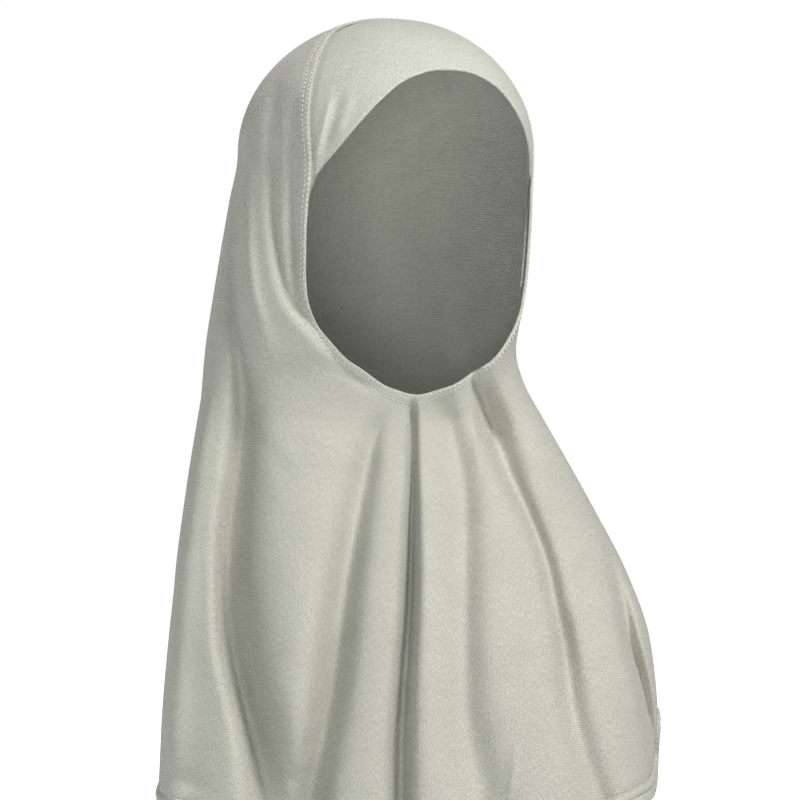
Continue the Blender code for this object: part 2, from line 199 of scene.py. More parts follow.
# Short creases and tension lines: from pixel, to pixel, depth in millimetres, half width
# in pixels.
CREASE_COLUMNS = ("column_a", "row_a", "column_b", "row_b", "depth", "width")
CREASES = {
    "jaw_tension_1": (280, 290, 330, 352, 0.9, 5),
    "jaw_tension_2": (277, 306, 342, 366, -0.6, 5),
    "jaw_tension_3": (300, 352, 384, 396, 0.6, 6),
    "side_crease_1": (256, 428, 262, 448, 1.5, 3),
    "side_crease_2": (262, 438, 294, 482, 1.0, 4),
    "neck_crease": (472, 398, 478, 466, -1.5, 3),
    "hem_crease_1": (283, 764, 300, 802, 2.2, 4),
    "hem_crease_2": (300, 766, 309, 741, 1.5, 4),
    "hem_crease_3": (517, 742, 509, 802, -1.5, 3),
    "hem_hollow": (158, 768, 206, 788, 3.2, 9),
    "hem_slack": (262, 770, 330, 786, 1.6, 9),
    "band_tension_1": (331, 92, 314, 160, -1.5, 4),
    "band_tension_2": (340, 92, 322, 156, 1.4, 5),
    "band_tension_3": (352, 92, 334, 140, -0.7, 5),
    "band_tension_4": (360, 94, 344, 128, 0.6, 5),
    "band_wrinkle_1": (436, 68, 442, 76, 0.25, 2),
    "band_wrinkle_2": (452, 66, 456, 74, 0.25, 2),
    "band_wrinkle_3": (468, 66, 470, 75, 0.25, 2),
}

# Turned edges, from the fold inwards: distance from the edge, outer and inner lift, all as
# shares of the cloth's wall.
EDGE_PROFILE_COLUMNS = ("from_edge", "outer", "inner")
FACE_PROFILE = [
    (0.00, -0.45, -0.55), (0.12, -0.16, -0.86), (0.35, 0.06, -1.02), (0.65, 0.14, -1.08),
    (0.88, -0.08, -1.08), (1.00, -0.14, -1.08), (1.12, -0.08, -1.08), (1.40, 0.12, -1.10),
    (2.20, 0.20, -1.10), (3.20, 0.20, -1.10), (4.10, 0.14, -1.10), (4.45, -0.12, -1.05),
    (4.60, -0.20, -1.05), (4.80, -0.26, -1.02), (5.20, -0.32, -1.00), (5.80, -0.36, -0.95),
]
BOTTOM_PROFILE = [
    (0.00, -0.45, -0.55), (0.15, 0.10, -0.95), (0.45, 0.55, -1.35), (1.00, 0.85, -1.60),
    (2.20, 1.10, -1.70), (3.40, 1.10, -1.70), (4.60, 0.80, -1.50), (5.40, 0.20, -1.30),
    (5.80, -0.10, -1.25), (6.20, 0.20, -1.30), (7.00, 0.85, -1.50), (8.20, 1.25, -1.60),
    (9.20, 1.20, -1.50), (9.90, 0.80, -1.30), (10.30, 0.20, -1.20), (10.60, -0.30, -1.05),
    (11.00, -0.62, -0.98), (12.00, -0.66, -0.95),
]
CAPE_END_PROFILE = [
    (10.30, -0.52, -1.00), (10.80, -0.48, -1.00), (11.50, -0.36, -1.00), (12.40, -0.20, -1.00),
    (13.60, -0.08, -1.00), (15.00, -0.01, -1.00),
]
BROW_PROFILE = [
    (0.00, -0.45, -0.55), (0.12, -0.12, -0.88), (0.35, 0.12, -1.05), (0.90, 0.20, -1.10),
    (2.20, 0.16, -1.05), (3.60, 0.00, -1.00),
]

# Lift of the forehead band under the hood's hem and in sight, in metres
BAND_UNDER_HEM = -0.00150
BAND_IN_SIGHT = -0.00090

# Stitch rows
STITCH_PITCH = 0.0029
STITCH_LENGTH = 0.0022
STITCH_RADIUS = 0.00030
FACE_STITCH_ROWS = (0.0012, 0.0055)
HEM_STITCH_ROWS = (0.0070, 0.0132)

# Knit
COURSE_PITCH = 0.00104
WALE_PITCH = 0.00085
KNIT_RADIUS = 0.115
KNIT_DIP = 0.055
KNIT_DIP_REACH = 0.080


def steady_slopes(x, y):
    """Slopes for a curve through (x, y) that never overshoots its points."""
    step = np.diff(x)
    rise = np.diff(y) / step
    slope = np.zeros_like(y)
    for i in range(1, len(x) - 1):
        if rise[i - 1] * rise[i] > 0:
            before = 2 * step[i] + step[i - 1]
            after = step[i] + 2 * step[i - 1]
            slope[i] = (before + after) / (before / rise[i - 1] + after / rise[i])
    slope[-1] = rise[-1]
    return slope


def curve(at, x, y):
    """Smooth value at `at` of the curve through the points (x, y)."""
    x = np.asarray(x, float)
    y = np.asarray(y, float)
    slope = steady_slopes(x, y)
    at = np.clip(at, x[0], x[-1])
    i = np.clip(np.searchsorted(x, at) - 1, 0, len(x) - 2)
    step = x[i + 1] - x[i]
    t = (at - x[i]) / step
    start = (1 + 2 * t) * (1 - t) ** 2 * y[i] + t * (1 - t) ** 2 * step * slope[i]
    end = t * t * (3 - 2 * t) * y[i + 1] + t * t * (t - 1) * step * slope[i + 1]
    return start + end


def ramp(value, low, high):
    """0 below low, 1 above high, smooth between."""
    t = np.clip((value - low) / (high - low), 0, 1)
    return t * t * (3 - 2 * t)


def table_column(rows, columns, name):
    """One named column of a table, as an array."""
    return np.array([row[columns.index(name)] for row in rows], float)


def section_sizes(drop):
    """Right, left, front and back reach of the cloth at a drop, its turn and its squareness."""
    level = np.maximum(drop, CROWN_HEIGHT)
    inner = DROP * table_column(SECTIONS, SECTION_COLUMNS, "drop")
    levels = np.concatenate([[CROWN_HEIGHT], inner, [DROP]])
    ends = {
        "right": (HEAD_SIDE, CAPE_SIDE, RIGHT_AT_HEM * CAPE_SIDE),
        "left": (LEFT_AT_HEAD * HEAD_SIDE, CAPE_SIDE, CAPE_SIDE),
        "front": (HEAD_FRONT, HEAD_FRONT, CAPE_FRONT),
        "back": (HEAD_BACK, HEAD_BACK, CAPE_BACK),
        "turn": (0.0, -math.radians(CAPE_TURN), -math.radians(CAPE_TURN)),
        "square": (HEAD_SQUARE, 1.0, HEM_SQUARE),
    }
    sizes = []
    for name, (at_head, unit, at_hem) in ends.items():
        between = unit * table_column(SECTIONS, SECTION_COLUMNS, name)
        sizes.append(curve(level, levels, np.concatenate([[at_head], between, [at_hem]])))
    up = 1 - np.minimum(drop, CROWN_HEIGHT) / CROWN_HEIGHT
    shrink = np.sqrt(np.clip(1 - up ** 2, 0, 1))
    right, left, front, back, turn, square = sizes
    return right * shrink, left * shrink, front * shrink, back * shrink, turn, square


def shell_point(angle, drop):
    """Point of the smooth cloth, without folds, at an angle from its front and a drop."""
    right, left, front, back, turn, square = section_sizes(drop)
    side = np.where(angle < 0, right, left)
    depth = np.where(np.cos(angle) > 0, front, back)
    tiny = 1e-9
    reach = (np.abs(np.sin(angle) / np.maximum(side, tiny)) ** square
             + np.abs(np.cos(angle) / np.maximum(depth, tiny)) ** square) ** (-1 / square)
    x = reach * np.sin(angle)
    y = -reach * np.cos(angle)
    return np.stack([x * np.cos(turn) - y * np.sin(turn),
                     x * np.sin(turn) + y * np.cos(turn),
                     CROWN_TOP - drop], -1)


def run_from_drop(drop):
    """Length down the cloth from the crown to a drop."""
    dome = CROWN_HEIGHT * np.arccos(np.clip(1 - drop / CROWN_HEIGHT, -1, 1))
    return np.where(drop < CROWN_HEIGHT, dome, DOME_LENGTH + drop - CROWN_HEIGHT)


def drop_from_run(run):
    """Drop of a point a given length down the cloth from the crown."""
    dome = CROWN_HEIGHT * (1 - np.cos(np.minimum(run, DOME_LENGTH) / CROWN_HEIGHT))
    return np.where(run < DOME_LENGTH, dome, CROWN_HEIGHT + run - DOME_LENGTH)


def flat_point(angle, drop):
    """Place of a point on the flat pattern, whose centre is the crown."""
    run = run_from_drop(drop)
    return np.stack([run * np.sin(angle), -run * np.cos(angle)], -1)


def along(points, share):
    """Points at shares 0 to 1 of the way between the second and the last but one of some points.

    The first and last point only set the direction at the ends.
    """
    length = np.concatenate([[0], np.cumsum(np.linalg.norm(np.diff(points, axis=0), axis=1))])
    slope = (points[2:] - points[:-2]) / (length[2:] - length[:-2])[:, None]
    inner = points[1:-1]
    place = length[1:-1]
    at = place[0] + share * (place[-1] - place[0])
    i = np.clip(np.searchsorted(place, at) - 1, 0, len(place) - 2)
    step = (place[i + 1] - place[i])[:, None]
    t = (at - place[i])[:, None] / step
    start = (1 + 2 * t) * (1 - t) ** 2 * inner[i] + t * (1 - t) ** 2 * step * slope[i]
    end = t * t * (3 - 2 * t) * inner[i + 1] + t * t * (t - 1) * step * slope[i + 1]
    return start + end


def view_axes():
    """The photo's right and depth directions in the frame, as level unit vectors."""
    turn = math.radians(PHOTO_AZIMUTH)
    return np.array([math.cos(turn), math.sin(turn)]), np.array([-math.sin(turn), math.cos(turn)])


def photo_place(point):
    """Pixel column and row at which the photo shows a point."""
    right, away = view_axes()
    level = point[..., :2]
    scale = CAMERA_DISTANCE / (CAMERA_DISTANCE + level @ away) / PIXEL
    side = level @ right - (PHOTO_CENTRE - PHOTO_AXIS_X) * PIXEL
    height = point[..., 2] - CROWN_TOP + (PHOTO_CENTRE - PHOTO_CROWN_Y) * PIXEL
    return PHOTO_CENTRE + side * scale, PHOTO_CENTRE - height * scale


def shell_at(flat):
    """Point of the smooth cloth above a place on the flat pattern."""
    run = np.linalg.norm(flat, axis=-1)
    return shell_point(np.arctan2(flat[..., 0], -flat[..., 1]), drop_from_run(run))


def direction_of(surface, flat):
    """Outward direction of a surface above a place on the flat pattern."""
    small = 0.0006
    to_x = surface(flat + [small, 0]) - surface(flat - [small, 0])
    to_y = surface(flat + [0, small]) - surface(flat - [0, small])
    normal = np.cross(to_x, to_y)
    return normal / np.linalg.norm(normal, axis=-1, keepdims=True)


def hidden_fold_depth(angle, drop):
    """How far the folds out of the photo's sight press the cloth in."""
    depth = np.zeros_like(angle)
    right, left, front, back = section_sizes(np.maximum(drop, CROWN_HEIGHT))[:4]
    girth = (right + left + front + back) / 4
    for row in HIDDEN_FOLDS:
        fold = dict(zip(HIDDEN_FOLD_COLUMNS, row))
        t = (drop / DROP - fold["from_drop"]) / (fold["to_drop"] - fold["from_drop"])
        held = np.clip(t, 0, 1)
        track = np.radians(fold["angle_top"] + (fold["angle_bottom"] - fold["angle_top"]) * t)
        away = (angle - track + math.pi) % (2 * math.pi) - math.pi
        spread = fold["spread_top"] + (fold["spread_bottom"] - fold["spread_top"]) * held
        deep = fold["depth_top"] + (fold["depth_bottom"] - fold["depth_top"]) * held
        depth = depth + deep * ramp(t, 0, 0.25) / np.cosh(away * girth / spread) ** 2
    return depth


def photo_fold_depth(column, row):
    """How far the folds that the photo shows press the cloth in, at a pixel."""
    depth = np.zeros_like(column)
    for rows in PHOTO_FOLDS.values():
        levels = table_column(rows, PHOTO_FOLD_COLUMNS, "row")
        values = {name: curve(row, levels, table_column(rows, PHOTO_FOLD_COLUMNS, name))
                  for name in PHOTO_FOLD_COLUMNS[1:]}
        away = column - values["column"]
        half = np.where(away < 0, values["left"], values["right"])
        depth = depth + 0.001 * values["depth"] * (row > levels[0]) / np.cosh(away / half) ** 2
    return depth


def crease_depth(column, row):
    """How far the short creases press the cloth in, at a pixel."""
    depth = np.zeros_like(column)
    for values in CREASES.values():
        crease = dict(zip(CREASE_COLUMNS, values))
        way = np.array([crease["column_b"] - crease["column_a"], crease["row_b"] - crease["row_a"]], float)
        length = np.hypot(*way)
        way /= length
        from_a = np.stack([column - crease["column_a"], row - crease["row_a"]], -1)
        place = from_a @ way / length
        off = from_a @ np.array([-way[1], way[0]])
        fade = np.exp(-((place - 0.5) / 0.45) ** 4)
        depth = depth + 0.001 * crease["depth"] * fade / np.cosh(off / crease["width"]) ** 2
    return depth


def unevenness(angle, drop):
    """Slight unevenness of hanging cloth: a few long waves of fixed phases."""
    chance = np.random.default_rng(11)
    lift = np.zeros_like(angle)
    for _ in range(14):
        turns = int(chance.integers(2, 17))
        falls = chance.uniform(4, 26)
        phase = chance.uniform(0, 2 * math.pi)
        lift = lift + np.sin(turns * angle + falls * drop / DROP + phase) / (4 + turns)
    return 0.0011 * lift * ramp(drop, 0.10, 0.30)


def cloth_point(flat):
    """Outer side of the cloth, with folds, above a place on the flat pattern."""
    run = np.linalg.norm(flat, axis=-1)
    angle = np.arctan2(flat[..., 0], -flat[..., 1])
    drop = drop_from_run(run)
    point = shell_point(angle, drop)
    normal = direction_of(shell_at, flat)
    _, away = view_axes()
    seen = ramp(-(normal[..., :2] @ away), -0.05, 0.18)
    column, row = photo_place(point)
    back = seen * (photo_fold_depth(column, row) + crease_depth(column, row))
    press = hidden_fold_depth(angle, drop) - unevenness(angle, drop)
    level = point[..., :2]
    reach = np.linalg.norm(level, axis=-1)
    shrink = 1 - press / np.maximum(reach, LEAST_REACH)
    level = level * shrink[..., None] + away * back[..., None]
    return np.concatenate([level, point[..., 2:]], -1)


def face_edge(share):
    """Edge of the face opening, from the crown by the right cheek and chin back to the crown."""
    angle = -np.radians(table_column(FACE_EDGE, FACE_EDGE_COLUMNS, "angle"))
    right = flat_point(angle, DROP * table_column(FACE_EDGE, FACE_EDGE_COLUMNS, "drop"))
    left = right[::-1] * [-1, 1]
    return along(np.concatenate([left[-2:-1], right, left[1:], right[1:2]]), np.asarray(share, float))


def brow_edge(share):
    """Brow edge of the forehead band, from the left temple (0) to the right temple (1)."""
    angle = -np.radians(table_column(BROW_EDGE, BROW_EDGE_COLUMNS, "angle"))
    right = flat_point(angle, DROP * table_column(BROW_EDGE, BROW_EDGE_COLUMNS, "drop"))
    right = np.concatenate([right, 2 * right[-1:] - right[-2:-1]])
    left = right[::-1] * [-1, 1]
    return along(np.concatenate([left, right[1:]]), share)


def hem_edge(share):
    """Hem on the flat pattern, from the back by the right side and the front to the back."""
    fine = np.radians(np.linspace(-180, 180, 1441))
    drop = DROP * curve(np.degrees(fine), table_column(HEM_LINE, HEM_LINE_COLUMNS, "angle"),
                        table_column(HEM_LINE, HEM_LINE_COLUMNS, "drop"))
    around = shell_point(fine, drop)
    length = np.concatenate([[0], np.cumsum(np.linalg.norm(np.diff(around, axis=0), axis=1))])
    angle = np.interp(np.asarray(share) * length[-1], length, fine)
    return flat_point(angle, np.interp(angle, fine, drop))


def cape_lines(columns):
    """Shares round the cape, with both ends of every line from the face edge to the hem."""
    share = np.arange(columns + 1) / columns
    return share, face_edge(share), hem_edge(share)


def rows_between(inner, outer, first, last, rows):
    """Places on the flat pattern, first to last metres along each line from inner to outer."""
    length = np.linalg.norm(outer - inner, axis=-1)
    step = np.linspace(0, 1, rows + 1)[:, None]
    mix = (first + (length - last - first) * step) / length
    return inner + (outer - inner) * mix[..., None]


def rows_at(inner, outer, distances):
    """Places on the flat pattern at set distances along each line from inner to outer."""
    length = np.linalg.norm(outer - inner, axis=-1)
    mix = np.asarray(distances)[:, None] / length
    return inner + (outer - inner) * mix[..., None]


def band_grid(columns, rows):
    """Places on the flat pattern of the forehead band, from the brow edge to its tucked edge."""
    share = np.linspace(0, 1, columns + 1)
    brow = brow_edge(share)
    seam = face_edge((TEMPLE_SHARE * (2 * share - 1)) % 1.0)
    fan = math.radians(BAND_FAN) * (2 * share - 1)
    tucked = seam + BAND_TUCK * np.stack([-np.sin(fan), np.cos(fan)], -1)
    near = rows_at(brow, tucked, WALL * table_column(BROW_PROFILE, EDGE_PROFILE_COLUMNS, "from_edge"))
    far = rows_between(brow, tucked, WALL * (BROW_PROFILE[-1][0] + 1.2), 0, rows)
    return np.concatenate([near, far])


def knit_place(flat):
    """Distance round and down the knit, in metres, for a place on the flat pattern.

    The rows of the knit fall away from the centre-front seam.
    """
    run = np.linalg.norm(flat, axis=-1)
    angle = np.unwrap(np.arctan2(flat[..., 0], -flat[..., 1]), axis=-1)
    turn = (angle + math.pi) % (2 * math.pi) - math.pi
    dip = KNIT_DIP * (1 - np.exp(-np.abs(turn) * KNIT_RADIUS / KNIT_DIP_REACH))
    dip = dip * np.tanh(run / DOME_LENGTH)
    return np.stack([angle * KNIT_RADIUS * np.tanh(run / KNIT_RADIUS), run - dip], -1)


def lift_table(lift, rows, columns):
    """A lift for each place of a grid, from one value, one a row, or a whole table."""
    lift = np.asarray(lift, float)
    if lift.ndim == 1:
        lift = lift[:, None]
    return np.broadcast_to(lift, (rows, columns))[..., None]


def wall_piece(name, grid, outer_lift, inner_lift, closed, knit=None):
    """Closed wall of cloth over a grid of places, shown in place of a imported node."""
    rows, columns = grid.shape[:2]
    point = cloth_point(grid)
    normal = direction_of(cloth_point, grid)
    sides = np.stack([point + normal * lift_table(outer_lift, rows, columns),
                      point + normal * lift_table(inner_lift, rows, columns)])
    knit = knit_place(grid) if knit is None else knit
    keep = columns - 1 if closed else columns
    verts = sides[:, :, :keep].reshape(-1, 3)
    r, c = np.meshgrid(np.arange(rows), np.arange(columns - 1), indexing="ij")
    n = (c + 1) % keep if closed else c + 1

    def corner(side, row, column):
        return side * rows * keep + row * keep + column

    def quads(a, b, d, e):
        return np.stack([a, b, d, e], -1).reshape(-1, 4)

    up = r[:-1]
    left = c[:-1]
    right = n[:-1]
    faces = [quads(corner(0, up + 1, left), corner(0, up + 1, right), corner(0, up, right), corner(0, up, left)),
             quads(corner(1, up, left), corner(1, up, right), corner(1, up + 1, right), corner(1, up + 1, left))]
    place = [quads_of(knit, up + 1, left, up + 1, left + 1, up, left + 1, up, left),
             quads_of(knit, up, left, up, left + 1, up + 1, left + 1, up + 1, left)]
    top, bottom = np.zeros_like(c[0]), np.full_like(c[0], rows - 1)
    faces.append(quads(corner(0, top, c[0]), corner(0, top, n[0]), corner(1, top, n[0]), corner(1, top, c[0])))
    place.append(quads_of(knit, top, c[0], top, c[0] + 1, top, c[0] + 1, top, c[0]))
    faces.append(quads(corner(0, bottom, n[0]), corner(0, bottom, c[0]), corner(1, bottom, c[0]), corner(1, bottom, n[0])))
    place.append(quads_of(knit, bottom, c[0] + 1, bottom, c[0], bottom, c[0], bottom, c[0] + 1))
    if not closed:
        down = np.arange(rows - 1)
        first, last = np.zeros_like(down), np.full_like(down, columns - 1)
        faces.append(quads(corner(0, down + 1, first), corner(0, down, first), corner(1, down, first), corner(1, down + 1, first)))
        place.append(quads_of(knit, down + 1, first, down, first, down, first, down + 1, first))
        faces.append(quads(corner(0, down, last), corner(0, down + 1, last), corner(1, down + 1, last), corner(1, down, last)))
        place.append(quads_of(knit, down, last, down + 1, last, down + 1, last, down, last))
    return mesh_object(name, verts, np.concatenate(faces), np.concatenate(place))


def quads_of(knit, *places):
    """Knit places of the four corners of each quad, from pairs of row and column."""
    corners = [knit[places[k], places[k + 1]] for k in range(0, 8, 2)]
    return np.stack(corners, -2).reshape(-1, 4, 2)


def mesh_object(name, verts, faces, place=None):
    """A smooth mesh object from corner points, quads and the knit place of each corner."""
    data = bpy.data.meshes.new(name)
    data.from_pydata(verts.tolist(), [], faces.tolist())
    if place is not None:
        layer = data.uv_layers.new(name="knit")
        layer.data.foreach_set("uv", place.reshape(-1))
    data.shade_smooth()
    item = bpy.data.objects.new(name, data)
    bpy.context.scene.collection.objects.link(item)
    return item


def stitch_row(name, inner, outer, distance, lift):
    """A row of stitches a set distance from the edge, as one mesh of small rounded bars."""
    flat = rows_at(inner, outer, [distance])[0]
    point = cloth_point(flat)
    normal = direction_of(cloth_point, flat)
    point = point + normal * lift
    length = np.concatenate([[0], np.cumsum(np.linalg.norm(np.diff(point, axis=0), axis=1))])
    count = int(length[-1] / STITCH_PITCH)
    start = np.arange(count) * length[-1] / count

    def at(place, values):
        return np.stack([np.interp(place, length, values[:, k]) for k in range(3)], -1)

    rings = 5
    sides = 6
    share = np.linspace(-0.5, 0.5, rings)
    swell = np.sqrt(np.clip(1 - (2 * share) ** 4, 0.12, 1))
    arch = STITCH_RADIUS * (0.9 - 5.5 * share ** 2)
    place = start[:, None] + STITCH_LENGTH * (0.5 + share)
    centre = at(place, point)
    up = at(place, normal)
    up /= np.linalg.norm(up, axis=-1, keepdims=True)
    way = at(place + 0.0002, point) - at(place - 0.0002, point)
    way /= np.linalg.norm(way, axis=-1, keepdims=True)
    side = np.cross(up, way)
    centre = centre + up * arch[:, None]
    turn = 2 * math.pi * np.arange(sides) / sides
    ring = (side[..., None, :] * np.cos(turn)[:, None] + up[..., None, :] * np.sin(turn)[:, None])
    verts = centre[..., None, :] + ring * (STITCH_RADIUS * swell)[:, None, None]
    verts = verts.reshape(-1, 3)
    base = (np.arange(count) * rings * sides)[:, None, None]
    row = (np.arange(rings - 1) * sides)[None, :, None]
    k = np.arange(sides)[None, None, :]
    n = (k + 1) % sides
    quads = np.stack([base + row + k, base + row + n, base + row + sides + n, base + row + sides + k], -1)
    faces = quads.reshape(-1, 4).tolist()
    for first in (np.arange(count) * rings * sides).tolist():
        faces.append([first + j for j in reversed(range(sides))])
        faces.append([first + (rings - 1) * sides + j for j in range(sides)])
    data = bpy.data.meshes.new(name)
    data.from_pydata(verts.tolist(), [], faces)
    data.shade_smooth()
    item = bpy.data.objects.new(name, data)
    bpy.context.scene.collection.objects.link(item)
    return item


def add_node(tree, kind, place, **settings):
    """A shader node with some of its settings and inputs set."""
    node = tree.nodes.new(kind)
    node.location = place
    for key, value in settings.items():
        if key.startswith("in_"):
            node.inputs[key[3:].replace("_", " ")].default_value = value
        else:
            setattr(node, key, value)
    return node


def jersey_material(name, dark, light, knit_depth):
    """Heather jersey: knit loops as bump, flecked fibres and faint cloudy tone."""
    material = bpy.data.materials.new(name)
    material.use_nodes = True
    tree = material.node_tree
    shader = tree.nodes["Principled BSDF"]
    shader.inputs["Roughness"].default_value = 0.92
    shader.inputs["Specular IOR Level"].default_value = 0.18
    shader.inputs["Sheen Weight"].default_value = 0.22
    shader.inputs["Sheen Roughness"].default_value = 0.45
    knit = add_node(tree, "ShaderNodeUVMap", (-1500, 0), uv_map="knit")
    split = add_node(tree, "ShaderNodeSeparateXYZ", (-1300, -250))
    tree.links.new(knit.outputs["UV"], split.inputs[0])

    def waves(output, pitch, shift, place):
        scale = add_node(tree, "ShaderNodeMath", place, operation="MULTIPLY_ADD")
        scale.inputs[1].default_value = 2 * math.pi / pitch
        tree.links.new(split.outputs[output], scale.inputs[0])
        if shift is not None:
            tree.links.new(shift, scale.inputs[2])
        wave = add_node(tree, "ShaderNodeMath", (place[0] + 180, place[1]), operation="SINE")
        tree.links.new(scale.outputs[0], wave.inputs[0])
        return wave.outputs[0]

    drift = add_node(tree, "ShaderNodeTexNoise", (-1300, -500), in_Scale=55.0, in_Detail=2.0)
    tree.links.new(knit.outputs["UV"], drift.inputs["Vector"])
    sway = add_node(tree, "ShaderNodeMath", (-1100, -500), operation="MULTIPLY")
    sway.inputs[1].default_value = 7.0
    tree.links.new(drift.outputs["Fac"], sway.inputs[0])
    courses = waves("Y", COURSE_PITCH, sway.outputs[0], (-900, -200))
    wales = waves("X", WALE_PITCH, sway.outputs[0], (-900, -420))
    loops = add_node(tree, "ShaderNodeMath", (-520, -300), operation="MULTIPLY_ADD")
    loops.inputs[1].default_value = 0.14
    tree.links.new(wales, loops.inputs[0])
    tree.links.new(courses, loops.inputs[2])

    stretch = add_node(tree, "ShaderNodeMapping", (-1300, 300))
    stretch.inputs["Scale"].default_value = (1500.0, 420.0, 1.0)
    tree.links.new(knit.outputs["UV"], stretch.inputs["Vector"])
    fibres = add_node(tree, "ShaderNodeTexNoise", (-1100, 300), in_Scale=1.0, in_Detail=3.0, in_Roughness=0.6)
    tree.links.new(stretch.outputs["Vector"], fibres.inputs["Vector"])
    flecks = add_node(tree, "ShaderNodeValToRGB", (-900, 300))
    flecks.color_ramp.elements[0].position = 0.30
    flecks.color_ramp.elements[1].position = 0.70
    flecks.color_ramp.elements[0].color = (*dark, 1)
    flecks.color_ramp.elements[1].color = (*light, 1)
    tree.links.new(fibres.outputs["Fac"], flecks.inputs["Fac"])

    place = add_node(tree, "ShaderNodeTexCoord", (-1500, 620))
    clouds = add_node(tree, "ShaderNodeTexNoise", (-1100, 620), in_Scale=42.0, in_Detail=4.0, in_Roughness=0.62)
    tree.links.new(place.outputs["Object"], clouds.inputs["Vector"])
    tone = add_node(tree, "ShaderNodeMapRange", (-900, 620))
    tone.inputs["From Min"].default_value = 0.3
    tone.inputs["From Max"].default_value = 0.7
    tone.inputs["To Min"].default_value = 0.955
    tone.inputs["To Max"].default_value = 1.035
    tree.links.new(clouds.outputs["Fac"], tone.inputs["Value"])
    slack = add_node(tree, "ShaderNodeMapRange", (-900, 80), interpolation_type="SMOOTHSTEP")
    slack.inputs["From Min"].default_value = 0.20
    slack.inputs["From Max"].default_value = 0.38
    slack.inputs["To Min"].default_value = 0.08
    slack.inputs["To Max"].default_value = 0.30
    tree.links.new(split.outputs["Y"], slack.inputs["Value"])
    sideways = add_node(tree, "ShaderNodeMath", (-900, -80), operation="ABSOLUTE")
    tree.links.new(split.outputs["X"], sideways.inputs[0])
    frontal = add_node(tree, "ShaderNodeMapRange", (-720, -80), interpolation_type="SMOOTHSTEP")
    frontal.inputs["From Min"].default_value = 0.03
    frontal.inputs["From Max"].default_value = 0.15
    frontal.inputs["To Min"].default_value = 1.0
    frontal.inputs["To Max"].default_value = 0.25
    tree.links.new(sideways.outputs[0], frontal.inputs["Value"])
    clear = add_node(tree, "ShaderNodeMath", (-620, 80), operation="MULTIPLY")
    tree.links.new(slack.outputs["Result"], clear.inputs[0])
    tree.links.new(frontal.outputs["Result"], clear.inputs[1])
    ribs = add_node(tree, "ShaderNodeMath", (-520, 80), operation="MULTIPLY_ADD")
    ribs.inputs[2].default_value = 1.0
    tree.links.new(loops.outputs[0], ribs.inputs[0])
    tree.links.new(clear.outputs[0], ribs.inputs[1])
    shade = add_node(tree, "ShaderNodeMath", (-320, 300), operation="MULTIPLY")
    tree.links.new(tone.outputs["Result"], shade.inputs[0])
    tree.links.new(ribs.outputs[0], shade.inputs[1])
    colour = add_node(tree, "ShaderNodeVectorMath", (-150, 300), operation="SCALE")
    tree.links.new(flecks.outputs["Color"], colour.inputs[0])
    tree.links.new(shade.outputs[0], colour.inputs["Scale"])
    tree.links.new(colour.outputs["Vector"], shader.inputs["Base Color"])

    height = add_node(tree, "ShaderNodeMath", (-320, -300), operation="MULTIPLY_ADD")
    height.inputs[1].default_value = 0.9
    tree.links.new(fibres.outputs["Fac"], height.inputs[0])
    tree.links.new(loops.outputs[0], height.inputs[2])
    bump = add_node(tree, "ShaderNodeBump", (-150, -300), in_Strength=0.6, in_Distance=knit_depth)
    tree.links.new(height.outputs[0], bump.inputs["Height"])
    tree.links.new(bump.outputs["Normal"], shader.inputs["Normal"])
    return material


def thread_material():
    """Slightly lighter sewing thread with a twist."""
    material = bpy.data.materials.new("thread")
    material.use_nodes = True
    tree = material.node_tree
    shader = tree.nodes["Principled BSDF"]
    shader.inputs["Roughness"].default_value = 0.6
    shader.inputs["Sheen Weight"].default_value = 0.1
    place = add_node(tree, "ShaderNodeTexCoord", (-900, 0))
    twist = add_node(tree, "ShaderNodeTexNoise", (-700, 0), in_Scale=2600.0, in_Detail=1.0)
    tree.links.new(place.outputs["Object"], twist.inputs["Vector"])
    tint = add_node(tree, "ShaderNodeValToRGB", (-500, 0))
    tint.color_ramp.elements[0].color = (0.58, 0.59, 0.53, 1)
    tint.color_ramp.elements[1].color = (0.78, 0.79, 0.73, 1)
    tree.links.new(twist.outputs["Fac"], tint.inputs["Fac"])
    tree.links.new(tint.outputs["Color"], shader.inputs["Base Color"])
    return material


def dress(item, material, slot, *nodes):
    """Gives a piece its material and body, and hides the nodes it stands for."""
    item.data.materials.append(material)
    if nodes:
        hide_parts(*nodes)
    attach(item, "root")
    return item


def build_cape(jersey):
    """Hood and cape in one cloth, pulled in along the bottom hem's stitches."""
    share, inner, outer = cape_lines(CAPE_COLUMNS)
    profile = {name: WALL * table_column(CAPE_END_PROFILE, EDGE_PROFILE_COLUMNS, name)[::-1]
               for name in EDGE_PROFILE_COLUMNS}
    main = rows_between(inner, outer, 3.9 * WALL, 16.5 * WALL, CAPE_ROWS)
    grid = np.concatenate([main, rows_at(outer, inner, profile["from_edge"])])
    flat = np.zeros(CAPE_ROWS + 1)
    outer_lift = np.concatenate([flat, profile["outer"]])
    inner_lift = np.concatenate([flat - WALL, profile["inner"]])
    cape = wall_piece("hood_cape_cloth", grid, outer_lift, inner_lift, closed=True)
    return dress(cape, jersey, "hood_cape", "hood_cape")


def build_face_hem(jersey):
    """Turned edge of the face opening."""
    share, inner, outer = cape_lines(CAPE_COLUMNS)
    profile = {name: WALL * table_column(FACE_PROFILE, EDGE_PROFILE_COLUMNS, name)
               for name in EDGE_PROFILE_COLUMNS}
    grid = rows_at(inner, outer, profile["from_edge"])
    hem = wall_piece("face_hem_cloth", grid, profile["outer"], profile["inner"], closed=True)
    return dress(hem, jersey, "face_hem", "face_hem")


